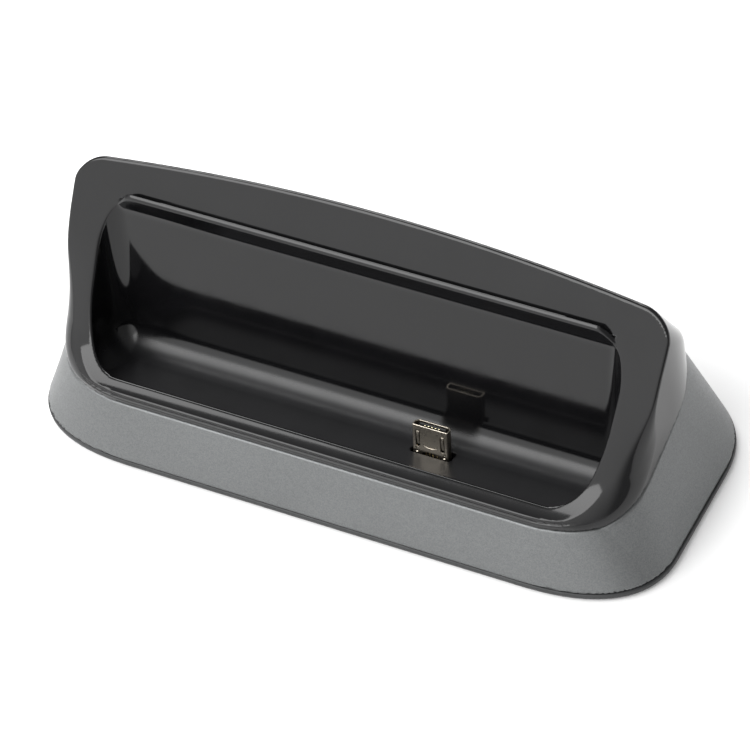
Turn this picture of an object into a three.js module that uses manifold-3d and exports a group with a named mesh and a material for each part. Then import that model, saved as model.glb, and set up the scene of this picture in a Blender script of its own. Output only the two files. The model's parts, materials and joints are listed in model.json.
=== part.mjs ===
// Desktop charging dock: a low landscape cradle with an off-centre Micro-B plug.
// Units are millimetres. +X runs along the dock, +Y to the back, +Z up, z = 0 on the table.
import * as THREE from 'three';
import { mergeVertices } from 'three/addons/utils/BufferGeometryUtils.js';
import Module from 'manifold-3d';

const wasm = await Module();
wasm.setup();

const radians = THREE.MathUtils.degToRad;

// ---- overall body ----
const LENGTH = 122;
const DEPTH = 50;
const RIDGE_Z = 44.6;
const BOW_RADIUS = 470;
const BOW_STEPS = 12;
const SHOULDER = 6;
const SHOULDER_STEPS = 6;
const CORNER_X = 24;
const CORNER_FRONT_Y = 15;
const CORNER_BACK_Y = 18;
const CORNER_POWER = 2.5;
const CORNER_STEPS = 10;

// ---- fits and walls ----
const GAP = 0.3;
const OVERRUN = 0.6;
const RUNNING = 0.06;
const HOUSING_WALL = 1.5;
const SHELL_WALL = 1.6;
const SLOT_WALL = 1.2;

// ---- base plate and feet ----
const FOOT_PROUD = 0.5;
const BASE_EDGE = 1.1;
const BASE_STEP = 1.1;
const FOOT_RADIUS = 5;
const FOOT_RECESS = 0.9;
const FOOT_TO_POST = 2.2;
const FOOT_INSET_Y = 10;

// ---- housing band ----
const BAND_FRONT_Z = 12.5;
const BAND_TAPER_FRONT = 4.2;
const BAND_TAPER_SIDE = 5.1;
const BAND_TAPER_BACK = 4.5;
const BAND_RISE = radians(16);
const BAND_FLAT = 6.4;

// ---- cradle shell ----
const LIP_Z = 14.1;
const SHELL_FLARE = radians(3);
const BEAD_WIDTH = 0.8;
const STEP_HEIGHT = 3.95;
const TOP_INCLINE = radians(45);
const BACK_SLOPE = radians(63);

// ---- slot, in its own leaning frame: depth d and height h from the plug's foot ----
const SLOT_LENGTH = 98;
const SLOT_LEAN = radians(16.5);
const SLOT_FRONT = 8.3;
const SLOT_BACK = 5.8;
const SLOT_FLOOR_Z = 10;
const SLOT_SETBACK = 35.4;
const SLOT_PANEL_HEIGHT = 27.4;
const SLOT_BACK_CORNER = 4;
const SLOT_FRONT_CORNER = 8;
const SLOT_FILLET = 5;
const SLOT_FRONT_FILLET = 1;
const FILLET_STEPS = 5;
const SLOT_CORNER_STEPS = 7;
const SLOT_CUT_ABOVE = 40;

// ---- plug and carrier ----
const PLUG_X = 16;
const PLUG_WIDTH = 6.85;
const PLUG_THICK = 1.8;
const PLUG_EXPOSED = 5.4;
const PLUG_ROOT = 2.6;
const PLUG_WALL = 0.25;
const PLUG_BEVEL = 0.55;
const PLUG_ROUND = 0.25;
const PLUG_BOTTOM = 0.6;
const PLUG_CLEAR = 0.45;
const TONGUE_THICK = 0.5;
const TONGUE_SHORT = 0.2;
const TONGUE_CLEAR = 0.1;
const CONTACT_COUNT = 5;
const CONTACT_PITCH = 0.65;
const CONTACT_WIDTH = 0.35;
const CONTACT_THICK = 0.12;
const CONTACT_CLEAR = 0.05;
const LATCH_SPREAD = 4.7;
const LATCH_WIDTH = 0.5;
const LATCH_LENGTH = 3;
const LATCH_BASE = 1.2;
const LATCH_SIDE_GAP = 0.15;
const LATCH_PROUD = 0.1;
const CARRIER_WIDTH = 11;
const CARRIER_DEPTH = 5.4;
const CARRIER_BOTTOM = 5.4;
const PIN_RADIUS = 0.8;
const PIN_BELOW = 4;
const PIN_PROUD = 0.6;
const EAR_THICK = 0.8;
const EAR_WIDTH = 5;
const EAR_TO_CARRIER = 1.7;
const BRACKET_TAB = 5.4;
const SHEET_THICK = 0.5;
const SPRING_WIRE = 0.18;
const SPRING_TURNS = 3;
const SPRING_SIDES = 6;
const SPRING_STEPS = 14;
const SPRING_CLEAR = 0.15;
const PLUG_BOARD_THICK = 0.8;
const PLUG_BOARD_INSET = 0.4;
const CABLE_WIDTH = 7.2;
const CABLE_THICK = 0.3;
const CABLE_CLEAR = 0.7;
const CABLE_RISE = 0.5;
const CONNECTOR_WIDTH = 9;
const CONNECTOR_DEPTH = 3.2;
const CONNECTOR_HEIGHT = 1.6;
const CONNECTOR_SETBACK = 1;

// ---- boards, weight and screws ----
const BOARD_THICK = 1.2;
const BOARD_LENGTH = 74;
const BOARD_Z = 6;
const BOARD_FRONT_SETBACK = 2.6;
const BOARD_BACK_SETBACK = 5.1;
const STANDOFF_RADIUS = 2.4;
const STANDOFF_INSET = 9;
const STANDOFF_STAGGER = 8;
const STANDOFF_ROOT = 0.5;
const BALLAST_LENGTH = 36;
const BALLAST_DEPTH = 11;
const BALLAST_THICK = 3;
const BALLAST_OFFSET = 0.6;
const BALLAST_SCREW_INSET = 4;
const BALLAST_TO_BRACKET = 0.6;
const SCREW_RADIUS = 0.9;
const SCREW_HEAD_RADIUS = 1.9;
const SCREW_HEAD_HEIGHT = 0.9;
const SCREW_SLOT_WIDTH = 0.7;
const SCREW_SLOT_LENGTH = 2.2;
const SCREW_REACH = 5;
const SCREW_FLOOR = 0.6;
const POST_RADIUS = 2.8;
const POST_TO_BOARD = 7.2;
const POST_INSET_FRONT = 12.5;
const POST_INSET_BACK = 13;
const SOCKET_X = -20;
const SOCKET_WIDTH = 7.6;
const SOCKET_HEIGHT = 2.7;
const SOCKET_DEPTH = 5.4;
const SOCKET_WALL = 0.35;
const SOCKET_PROUD = 2;
const SOCKET_TONGUE = 0.7;
const SOCKET_TONGUE_SHORT = 1;
const ROUND_STEPS = 24;

// ---- worked out from the sizes above ----
const FRONT_Y = -DEPTH / 2;
const BACK_Y = DEPTH / 2;
const BASE_TOP = FOOT_PROUD + BASE_EDGE;
const PLATE_TOP = BASE_TOP + BASE_STEP;
const BAND_BOTTOM = BASE_TOP + RUNNING / 3;
const PLUG_Y = BACK_Y - SLOT_SETBACK;
const SEAM_START_Y = PLUG_Y - BAND_FLAT;
const BOARD_FRONT_Y = PLUG_Y + SLOT_BACK + BOARD_FRONT_SETBACK;
const BOARD_BACK_Y = BACK_Y - BOARD_BACK_SETBACK;
const POST_FRONT_Y = FRONT_Y + POST_INSET_FRONT;
const POST_BACK_Y = BACK_Y - POST_INSET_BACK;
const SLOT_FRONT_TOP = (LIP_Z - SLOT_FLOOR_Z - SLOT_FRONT * Math.sin(SLOT_LEAN)) / Math.cos(SLOT_LEAN);

// A point of the slot's leaning frame, as [y, z].
function lean(d, h) {
  return [
    PLUG_Y + d * Math.cos(SLOT_LEAN) + h * Math.sin(SLOT_LEAN),
    SLOT_FLOOR_Z - d * Math.sin(SLOT_LEAN) + h * Math.cos(SLOT_LEAN),
  ];
}

// ---- solids ----
function solid(geometry) {
  const bare = geometry.index ? geometry.toNonIndexed() : geometry.clone();
  for (const name of Object.keys(bare.attributes)) {
    if (name !== 'position') bare.deleteAttribute(name);
  }
  const welded = mergeVertices(bare, 1e-5);
  return new wasm.Manifold(new wasm.Mesh({
    numProp: 3,
    vertProperties: new Float32Array(welded.attributes.position.array),
    triVerts: new Uint32Array(welded.index.array),
  }));
}

function geometryOf(body) {
  const mesh = body.getMesh();
  const geometry = new THREE.BufferGeometry();
  geometry.setAttribute('position', new THREE.BufferAttribute(new Float32Array(mesh.vertProperties), 3));
  geometry.setIndex(new THREE.BufferAttribute(new Uint32Array(mesh.triVerts), 1));
  return geometry;
}

// A closed body through rings of equal point count, each ring counter-clockwise seen from above.
function loft(rings) {
  const count = rings[0].length;
  const positions = rings.flat(2);
  const index = [];
  for (let level = 0; level < rings.length - 1; level += 1) {
    for (let i = 0; i < count; i += 1) {
      const a = level * count + i;
      const b = level * count + (i + 1) % count;
      index.push(a, b, b + count, a, b + count, a + count);
    }
  }
  const flat = rings[0].map(([x, y]) => new THREE.Vector2(x, y));
  const top = (rings.length - 1) * count;
  for (const [a, b, c] of THREE.ShapeUtils.triangulateShape(flat, [])) {
    index.push(a, c, b, top + a, top + b, top + c);
  }
  const geometry = new THREE.BufferGeometry();
  geometry.setAttribute('position', new THREE.Float32BufferAttribute(positions, 3));
  geometry.setIndex(index);
  return solid(geometry);
}

function shapeOf(points) {
  return new THREE.Shape(points.map(([u, v]) => new THREE.Vector2(u, v)));
}

// A [y, z] outline drawn out along X.
function prismX(points, fromX, toX) {
  const geometry = new THREE.ExtrudeGeometry(shapeOf(points), { depth: toX - fromX, bevelEnabled: false });
  const turn = new THREE.Matrix4().set(0, 0, 1, fromX, 1, 0, 0, 0, 0, 1, 0, 0, 0, 0, 0, 1);
  geometry.applyMatrix4(turn);
  return solid(geometry);
}

function block(fromX, toX, fromY, toY, fromZ, toZ) {
  const geometry = new THREE.BoxGeometry(toX - fromX, toY - fromY, toZ - fromZ);
  geometry.translate((fromX + toX) / 2, (fromY + toY) / 2, (fromZ + toZ) / 2);
  return solid(geometry);
}

// A block of the slot's leaning frame, centred on x.
function leaningBlock(x, width, fromD, toD, fromH, toH) {
  const corners = [lean(fromD, fromH), lean(toD, fromH), lean(toD, toH), lean(fromD, toH)];
  return prismX(corners, x - width / 2, x + width / 2);
}

function upright(x, y, fromZ, toZ, radius) {
  const geometry = new THREE.CylinderGeometry(radius, radius, toZ - fromZ, ROUND_STEPS);
  geometry.rotateX(Math.PI / 2);
  geometry.translate(x, y, (fromZ + toZ) / 2);
  return solid(geometry);
}

function lying(fromX, toX, y, z, radius) {
  const geometry = new THREE.CylinderGeometry(radius, radius, toX - fromX, ROUND_STEPS);
  geometry.rotateZ(Math.PI / 2);
  geometry.translate((fromX + toX) / 2, y, z);
  return solid(geometry);
}

// ---- outlines ----
// The body's plan outline: straight sides with soft superelliptic corners.
function planOutline(frontIn, sideIn, backIn) {
  const halfX = LENGTH / 2 - sideIn;
  const front = FRONT_Y + frontIn;
  const back = BACK_Y - backIn;
  const corners = [
    [1, -1, CORNER_FRONT_Y], [1, 1, CORNER_BACK_Y], [-1, 1, CORNER_BACK_Y], [-1, -1, CORNER_FRONT_Y],
  ];
  const points = [];
  for (const [signX, signY, depthY] of corners) {
    const reachX = CORNER_X - sideIn;
    const reachY = Math.min(depthY, (back - front) / 2 - 0.5);
    const edgeY = signY < 0 ? front : back;
    const centreX = signX * (halfX - reachX);
    const centreY = edgeY - signY * reachY;
    for (let i = 0; i <= CORNER_STEPS; i += 1) {
      const share = i / CORNER_STEPS;
      const angle = (signX * signY < 0 ? 1 - share : share) * Math.PI / 2;
      const x = Math.cos(angle) ** (2 / CORNER_POWER);
      const y = Math.sin(angle) ** (2 / CORNER_POWER);
      points.push([centreX + signX * reachX * x, centreY + signY * reachY * y]);
    }
  }
  return points;
}

// The seam between the grey band and the black shell: level at the front, climbing to the back
// from BAND_FLAT in front of the plug.
function seamZ(y) {
  return BAND_FRONT_Z + Math.max(0, y - SEAM_START_Y) * Math.tan(BAND_RISE);
}

// The band's surface runs from the base outline to the seam outline; inset moves it inward.
function bandLoft(inset, below, above) {
  const low = planOutline(inset, inset, inset);
  const high = planOutline(BAND_TAPER_FRONT + inset, BAND_TAPER_SIDE + inset, BAND_TAPER_BACK + inset);
  const rings = [-below, 1 + above].map((share) => low.map(([x, y], i) => {
    const [topX, topY] = high[i];
    const topZ = seamZ(topY);
    return [x + (topX - x) * share, y + (topY - y) * share, BAND_BOTTOM + (topZ - BAND_BOTTOM) * share];
  }));
  return loft(rings);
}

// Everything on one side of the seam.
function seamSide(upper, gap) {
  const lift = upper ? gap : -gap;
  const seam = [-DEPTH, SEAM_START_Y, DEPTH].map((y) => [y, seamZ(y) + lift]);
  const far = upper ? 2 * RIDGE_Z : -RIDGE_Z;
  const closed = upper
    ? [...seam, [DEPTH, far], [-DEPTH, far]]
    : [[-DEPTH, far], [DEPTH, far], ...seam.reverse()];
  return prismX(closed, -LENGTH, LENGTH);
}

// The upper shell's side walls, flaring slightly upward from the seam outline.
function shellColumn(inset) {
  const base = planOutline(BAND_TAPER_FRONT + inset, BAND_TAPER_SIDE + inset, BAND_TAPER_BACK + inset);
  const top = 2 * RIDGE_Z;
  const spread = 1 + (top - BAND_FRONT_Z) * Math.tan(SHELL_FLARE) / (LENGTH / 2 - BAND_TAPER_SIDE - inset);
  return loft([
    base.map(([x, y]) => [x, y, 0]),
    base.map(([x, y]) => [x, y, BAND_FRONT_Z]),
    base.map(([x, y]) => [x * spread, y, top]),
  ]);
}

// Above the leaning panel an upright step climbs to a narrow bead. Behind the bead the inclined
// top begins, and climbs to the ridge.
const stepFoot = lean(SLOT_BACK, SLOT_PANEL_HEIGHT);
const bead = [stepFoot[0] + BEAD_WIDTH, stepFoot[1] + STEP_HEIGHT];
const ridge = [bead[0] + (RIDGE_Z - bead[1]) / Math.tan(TOP_INCLINE), RIDGE_Z];

// The shell's side view: lip, climbing arms, inclined top and upright back wall.
function shellProfile(inset) {
  const lipInner = lean(-SLOT_FRONT, SLOT_FRONT_TOP);
  const backY = BACK_Y - BAND_TAPER_BACK + 2 * GAP - inset;
  const drop = inset / Math.cos(TOP_INCLINE);
  const rise = (backY - bead[0]) * Math.tan(TOP_INCLINE);
  return prismX([
    [-DEPTH, -RIDGE_Z], [backY, -RIDGE_Z], [backY, bead[1] + rise - drop],
    [bead[0] + inset, bead[1] + inset * Math.tan(TOP_INCLINE) - drop],
    [lipInner[0] + inset, LIP_Z - inset], [-DEPTH, LIP_Z - inset],
  ], -LENGTH, LENGTH);
}

// The back falls from the ridge at BACK_SLOPE. It is bowed in plan, so the ridge is arched,
// and it is rounded off towards both ends.
function bowedBack(inset) {
  const across = Math.sin(BACK_SLOPE);
  const upward = Math.cos(BACK_SLOPE);
  const endX = LENGTH / 2 - BAND_TAPER_SIDE + (RIDGE_Z - BAND_FRONT_Z) * Math.tan(SHELL_FLARE) - inset;
  const roundFrom = endX - SHOULDER;
  const bow = (x) => -inset - (BOW_RADIUS - Math.sqrt(BOW_RADIUS ** 2 - x ** 2));
  const half = [];
  for (let i = 0; i <= BOW_STEPS; i += 1) {
    const x = roundFrom * i / BOW_STEPS;
    half.push([x, bow(x)]);
  }
  for (let i = 1; i <= SHOULDER_STEPS; i += 1) {
    const angle = i / SHOULDER_STEPS * Math.PI / 2;
    const x = roundFrom + (SHOULDER + GAP) * Math.sin(angle);
    half.push([x, bow(x) - SHOULDER * (1 - Math.cos(angle))]);
  }
  const farX = half[half.length - 1][0];
  const mirrored = half.slice(1).map(([x, n]) => [-x, n]);
  const outline = [[-farX, -2 * DEPTH], [farX, -2 * DEPTH], ...half.reverse(), ...mirrored];
  const reach = 2 * RIDGE_Z;
  const geometry = new THREE.ExtrudeGeometry(shapeOf(outline), { depth: 2 * reach, bevelEnabled: false });
  geometry.applyMatrix4(new THREE.Matrix4().set(
    1, 0, 0, 0,
    0, across, -upward, ridge[0] + reach * upward,
    0, upward, across, ridge[1] - reach * across,
    0, 0, 0, 1,
  ));
  return solid(geometry);
}

// The slot as a solid to cut away, or grown by wall to make its skin.
function slotSolid(grow) {
  const top = SLOT_PANEL_HEIGHT + SLOT_CUT_ABOVE;
  const fillet = SLOT_FILLET + grow;
  const levels = [];
  for (let i = 0; i <= FILLET_STEPS; i += 1) {
    const angle = i / FILLET_STEPS * Math.PI / 2;
    levels.push([-grow + fillet * (1 - Math.cos(angle)), fillet * (1 - Math.sin(angle))]);
  }
  levels.push([top, 0]);
  const rings = levels.map(([h, inward]) => {
    const half = SLOT_LENGTH / 2 + grow + Math.max(0, h) * Math.tan(SHELL_FLARE) - inward;
    const front = -SLOT_FRONT - grow + Math.min(inward, SLOT_FRONT_FILLET);
    const back = SLOT_BACK + grow - inward;
    return slotRing(half, front, back, h, grow);
  });
  return loft(rings);
}

function slotRing(half, front, back, h, grow) {
  const wanted = SLOT_BACK_CORNER + SLOT_FRONT_CORNER + 2 * grow;
  const share = Math.min(1, (back - front - GAP) / wanted);
  const backCorner = share * (SLOT_BACK_CORNER + grow);
  const frontCorner = share * (SLOT_FRONT_CORNER + grow);
  const corners = [
    [half - frontCorner, front + frontCorner, frontCorner, -90],
    [half - backCorner, back - backCorner, backCorner, 0],
    [-half + backCorner, back - backCorner, backCorner, 90],
    [-half + frontCorner, front + frontCorner, frontCorner, 180],
  ];
  const ring = [];
  for (const [centreX, centreD, radius, from] of corners) {
    for (let i = 0; i <= SLOT_CORNER_STEPS; i += 1) {
      const angle = radians(from + 90 * i / SLOT_CORNER_STEPS);
      const [y, z] = lean(centreD + radius * Math.sin(angle), h);
      ring.push([centreX + radius * Math.cos(angle), y, z]);
    }
  }
  return ring;
}

// ---- materials ----
function material(color, roughness, metalness) {
  return new THREE.MeshStandardMaterial({ color, roughness, metalness });
}

const glossBlack = () => material(0x0b0b0d, 0.12, 0);
const greyPaint = () => material(0x84898b, 0.42, 0.6);
const darkPlastic = () => material(0x2c2d30, 0.55, 0);
const blackPlastic = () => material(0x141416, 0.6, 0);
const rubber = () => material(0x1b1b1d, 0.9, 0);
const nickel = () => material(0xb4aea2, 0.25, 1);
const gold = () => material(0xd9b25a, 0.25, 1);
const steel = () => material(0x9ea2a6, 0.35, 1);
const boardGreen = () => material(0x1d5a3a, 0.5, 0);
const beige = () => material(0xc9a96a, 0.6, 0);

const dock = new THREE.Group();
dock.name = 'charging_dock';

function place(name, body, look, parent = dock) {
  const mesh = new THREE.Mesh(geometryOf(body), look);
  mesh.name = name;
  parent.add(mesh);
  return mesh;
}

// ---- screws: one closed body each, head below or above its shank ----
function screw(x, y, fromZ, toZ, headAtTop) {
  const shank = upright(x, y, fromZ, toZ, SCREW_RADIUS);
  const headFrom = headAtTop ? toZ : fromZ - SCREW_HEAD_HEIGHT;
  const head = upright(x, y, headFrom, headFrom + SCREW_HEAD_HEIGHT, SCREW_HEAD_RADIUS);
  const driveFrom = headAtTop ? headFrom + SCREW_HEAD_HEIGHT / 2 : headFrom - GAP;
  const drive = block(
    x - SCREW_SLOT_WIDTH / 2, x + SCREW_SLOT_WIDTH / 2, y - SCREW_SLOT_LENGTH / 2, y + SCREW_SLOT_LENGTH / 2,
    driveFrom, driveFrom + SCREW_HEAD_HEIGHT / 2 + GAP,
  );
  return shank.add(head).subtract(drive);
}

// ---- places that several pieces share ----
const boardHalf = BOARD_LENGTH / 2;
const postX = boardHalf + POST_TO_BOARD + POST_RADIUS;
const posts = [
  [-postX, POST_FRONT_Y], [postX, POST_FRONT_Y], [-postX, POST_BACK_Y], [postX, POST_BACK_Y],
];
const footX = postX - POST_RADIUS - FOOT_TO_POST - FOOT_RADIUS;
const footY = DEPTH / 2 - FOOT_INSET_Y;
const standoffX = boardHalf - STANDOFF_INSET;
const standoffY = BOARD_BACK_Y - STANDOFF_INSET;
const standoffs = [[-standoffX, standoffY], [standoffX, standoffY - STANDOFF_STAGGER]];
const ballastY = PLUG_Y - BALLAST_OFFSET;
const earX = CARRIER_WIDTH / 2 + EAR_TO_CARRIER;
const bracketHalf = earX + EAR_THICK + BRACKET_TAB;
const ballastX = PLUG_X - bracketHalf - BALLAST_TO_BRACKET - BALLAST_LENGTH / 2;
const ballastScrewX = BALLAST_LENGTH / 2 - BALLAST_SCREW_INSET;
const ballastScrews = [[ballastX - ballastScrewX, ballastY], [ballastX + ballastScrewX, ballastY]];
const [pinY, pinZ] = lean(0, -PIN_BELOW);
const bracketScrews = [-1, 1].map((side) => [PLUG_X + side * (earX + EAR_THICK + BRACKET_TAB / 2), pinY]);
const socketZ = BOARD_Z + BOARD_THICK + GAP;
const screwFloor = FOOT_PROUD + SCREW_FLOOR + GAP;

// ---- slot cut, with the upright step standing in front of the leaning panel ----
const slotCut = slotSolid(0);
const beadKeep = block(-LENGTH, LENGTH, stepFoot[0], BACK_Y, stepFoot[1], 2 * RIDGE_Z);
const slotSpace = slotCut.subtract(beadKeep);
const slotSkin = slotSolid(SLOT_WALL);

// ---- cradle shell ----
const outer = shellColumn(0).intersect(shellProfile(0)).intersect(bowedBack(0));
const inner = shellColumn(SHELL_WALL).intersect(shellProfile(SHELL_WALL)).intersect(bowedBack(SHELL_WALL));
const insideBand = bandLoft(HOUSING_WALL + GAP, OVERRUN, OVERRUN);
const beadBar = block(-SLOT_LENGTH / 2, SLOT_LENGTH / 2, stepFoot[0], bead[0] + GAP, stepFoot[1], bead[1]);
const capOuter = outer.intersect(seamSide(true, GAP / 2)).add(beadBar);
const skirt = slotSkin.intersect(insideBand).intersect(outer);
let cradle = capOuter.subtract(inner.subtract(slotSkin)).add(skirt);
const postBottom = PLATE_TOP + GAP;
const halfWall = SHELL_WALL / 2;
const midWall = shellColumn(halfWall).intersect(shellProfile(halfWall)).intersect(bowedBack(halfWall));
const postZone = insideBand.add(seamSide(true, GAP / 2)).intersect(midWall);
for (const [x, y] of posts) {
  cradle = cradle.add(upright(x, y, postBottom, RIDGE_Z, POST_RADIUS).intersect(postZone));
}
cradle = cradle.subtract(slotSpace);
cradle = cradle.subtract(leaningBlock(
  PLUG_X, PLUG_WIDTH + 2 * PLUG_CLEAR, -PLUG_THICK / 2 - PLUG_CLEAR, PLUG_THICK / 2 + PLUG_CLEAR,
  -3 * SLOT_WALL, SLOT_FILLET,
));
for (const [x, y] of posts) {
  const boreTop = PLATE_TOP + SCREW_REACH + GAP;
  cradle = cradle.subtract(upright(x, y, postBottom - GAP, boreTop, SCREW_RADIUS + GAP));
}
place('cradle_shell', cradle, glossBlack());

// ---- housing band ----
const socketCut = block(
  SOCKET_X - SOCKET_WIDTH / 2 - GAP, SOCKET_X + SOCKET_WIDTH / 2 + GAP, BOARD_BACK_Y, BACK_Y + 1,
  socketZ - GAP, socketZ + SOCKET_HEIGHT + GAP,
);
const band = bandLoft(0, 0, OVERRUN)
  .subtract(bandLoft(HOUSING_WALL, OVERRUN, OVERRUN))
  .intersect(seamSide(false, GAP / 2))
  .intersect(block(-LENGTH, LENGTH, -DEPTH, DEPTH, BASE_TOP + GAP / 2, RIDGE_Z))
  .subtract(socketCut);
place('housing_band', band, greyPaint());

// ---- base plate ----
const edgeRing = planOutline(0, 0, 0);
const stepRing = planOutline(HOUSING_WALL + 2 * GAP, HOUSING_WALL + 2 * GAP, HOUSING_WALL + 2 * GAP);
const stepTaper = planOutline(HOUSING_WALL + 4 * GAP, HOUSING_WALL + 4 * GAP, HOUSING_WALL + 4 * GAP);
let plate = loft([FOOT_PROUD, BASE_TOP].map((z) => edgeRing.map(([x, y]) => [x, y, z])))
  .add(loft([
    stepRing.map(([x, y]) => [x, y, FOOT_PROUD + BASE_EDGE / 2]),
    stepRing.map(([x, y]) => [x, y, BASE_TOP]),
    stepTaper.map(([x, y]) => [x, y, PLATE_TOP]),
  ]));
const headSeat = FOOT_PROUD + SCREW_HEAD_HEIGHT;
for (const [x, y] of posts) {
  plate = plate.subtract(upright(x, y, 0, headSeat + GAP, SCREW_HEAD_RADIUS + GAP));
  plate = plate.subtract(upright(x, y, 0, RIDGE_Z, SCREW_RADIUS + GAP));
}
const feet = [
  ['foot_front_left', -footX, -footY], ['foot_front_right', footX, -footY],
  ['foot_back_left', -footX, footY], ['foot_back_right', footX, footY],
];
for (const [, x, y] of feet) {
  plate = plate.subtract(upright(x, y, 0, FOOT_PROUD + FOOT_RECESS, FOOT_RADIUS + GAP));
}
for (const [x, y] of standoffs) {
  plate = plate.add(upright(x, y, PLATE_TOP - STANDOFF_ROOT, BOARD_Z - GAP, STANDOFF_RADIUS));
}
const tapped = [...standoffs, ...ballastScrews, ...bracketScrews];
for (const [x, y] of tapped) {
  plate = plate.subtract(upright(x, y, screwFloor - GAP, RIDGE_Z, SCREW_RADIUS + GAP));
}
place('base_plate', plate, darkPlastic());

for (const [name, x, y] of feet) {
  place(name, upright(x, y, 0, FOOT_PROUD + FOOT_RECESS - GAP, FOOT_RADIUS), rubber());
}
posts.forEach(([x, y], i) => {
  place(`base_screw_${i + 1}`, screw(x, y, headSeat, PLATE_TOP + SCREW_REACH, false), steel());
});

// ---- main board and what it carries ----
let board = block(-boardHalf, boardHalf, BOARD_FRONT_Y, BOARD_BACK_Y, BOARD_Z, BOARD_Z + BOARD_THICK);
for (const [x, y] of standoffs) {
  board = board.subtract(upright(x, y, 0, RIDGE_Z, SCREW_RADIUS + GAP));
}
place('main_board', board, boardGreen());
const boardTop = BOARD_Z + BOARD_THICK;
standoffs.forEach(([x, y], i) => {
  place(`board_screw_${i + 1}`, screw(x, y, screwFloor, boardTop + GAP, true), steel());
});
const chips = [
  ['charge_ic', -2, 12, 7, 7, 1.2, blackPlastic],
  ['supervisor_ic', 12, 13, 5, 4, 1.1, blackPlastic],
  ['power_inductor', -12, 7, 6, 6, 2.8, darkPlastic],
  ['input_capacitor', -31, 6, 3.2, 1.8, 1.6, beige],
  ['output_capacitor', 5, 4, 3.2, 1.8, 1.6, beige],
];
for (const [name, x, y, width, depth, height, look] of chips) {
  const from = boardTop + GAP;
  const atY = BOARD_FRONT_Y + y;
  const body = block(x - width / 2, x + width / 2, atY - depth / 2, atY + depth / 2, from, from + height);
  place(name, body, look());
}

const socketBack = BOARD_BACK_Y + SOCKET_PROUD;
const socketFront = socketBack - SOCKET_DEPTH;
const socketTop = socketZ + SOCKET_HEIGHT;
const socketShell = block(
  SOCKET_X - SOCKET_WIDTH / 2, SOCKET_X + SOCKET_WIDTH / 2, socketFront, socketBack, socketZ, socketTop,
).subtract(block(
  SOCKET_X - SOCKET_WIDTH / 2 + SOCKET_WALL, SOCKET_X + SOCKET_WIDTH / 2 - SOCKET_WALL,
  socketFront + SOCKET_WALL, socketBack + 1, socketZ + SOCKET_WALL, socketTop - SOCKET_WALL,
));
place('input_socket_shell', socketShell, nickel());
place('input_socket_tongue', block(
  SOCKET_X - SOCKET_WIDTH / 4, SOCKET_X + SOCKET_WIDTH / 4, socketFront + SOCKET_WALL + GAP,
  socketBack - SOCKET_TONGUE_SHORT, socketZ + SOCKET_WALL + GAP,
  socketZ + SOCKET_WALL + GAP + SOCKET_TONGUE,
), blackPlastic());

// ---- weight under the slot ----
const ballastBottom = PLATE_TOP + GAP;
const ballastTop = ballastBottom + BALLAST_THICK;
let ballast = block(
  ballastX - BALLAST_LENGTH / 2, ballastX + BALLAST_LENGTH / 2,
  ballastY - BALLAST_DEPTH / 2, ballastY + BALLAST_DEPTH / 2, ballastBottom, ballastTop,
);
for (const [x, y] of ballastScrews) {
  ballast = ballast.subtract(upright(x, y, 0, RIDGE_Z, SCREW_RADIUS + GAP));
}
place('ballast_plate', ballast, steel());
ballastScrews.forEach(([x, y], i) => {
  place(`ballast_screw_${i + 1}`, screw(x, y, screwFloor, ballastTop + GAP, true), steel());
});

// ---- carrier bracket: a folded strip with two ears that hold the pin ----
const bracketBottom = PLATE_TOP + GAP;
let bracket = block(
  PLUG_X - bracketHalf, PLUG_X + bracketHalf, pinY - EAR_WIDTH / 2, pinY + EAR_WIDTH / 2,
  bracketBottom, bracketBottom + SHEET_THICK,
);
for (const side of [-1, 1]) {
  const from = PLUG_X + (side < 0 ? -earX - EAR_THICK : earX);
  bracket = bracket.add(block(
    from, from + EAR_THICK, pinY - EAR_WIDTH / 2, pinY + EAR_WIDTH / 2,
    bracketBottom + SHEET_THICK / 2, pinZ,
  ));
  bracket = bracket.add(lying(from, from + EAR_THICK, pinY, pinZ, 2 * PIN_RADIUS));
}
bracket = bracket.subtract(lying(PLUG_X - LENGTH, PLUG_X + LENGTH, pinY, pinZ, PIN_RADIUS + RUNNING));
for (const [x, y] of bracketScrews) {
  bracket = bracket.subtract(upright(x, y, 0, RIDGE_Z, SCREW_RADIUS + GAP));
}
place('carrier_bracket', bracket, steel());
bracketScrews.forEach(([x, y], i) => {
  const seat = bracketBottom + SHEET_THICK + GAP;
  place(`bracket_screw_${i + 1}`, screw(x, y, screwFloor, seat, true), steel());
});
const pinHalf = earX + EAR_THICK + PIN_PROUD;
place('carrier_pivot_pin', lying(PLUG_X - pinHalf, PLUG_X + pinHalf, pinY, pinZ, PIN_RADIUS), steel());

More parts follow.
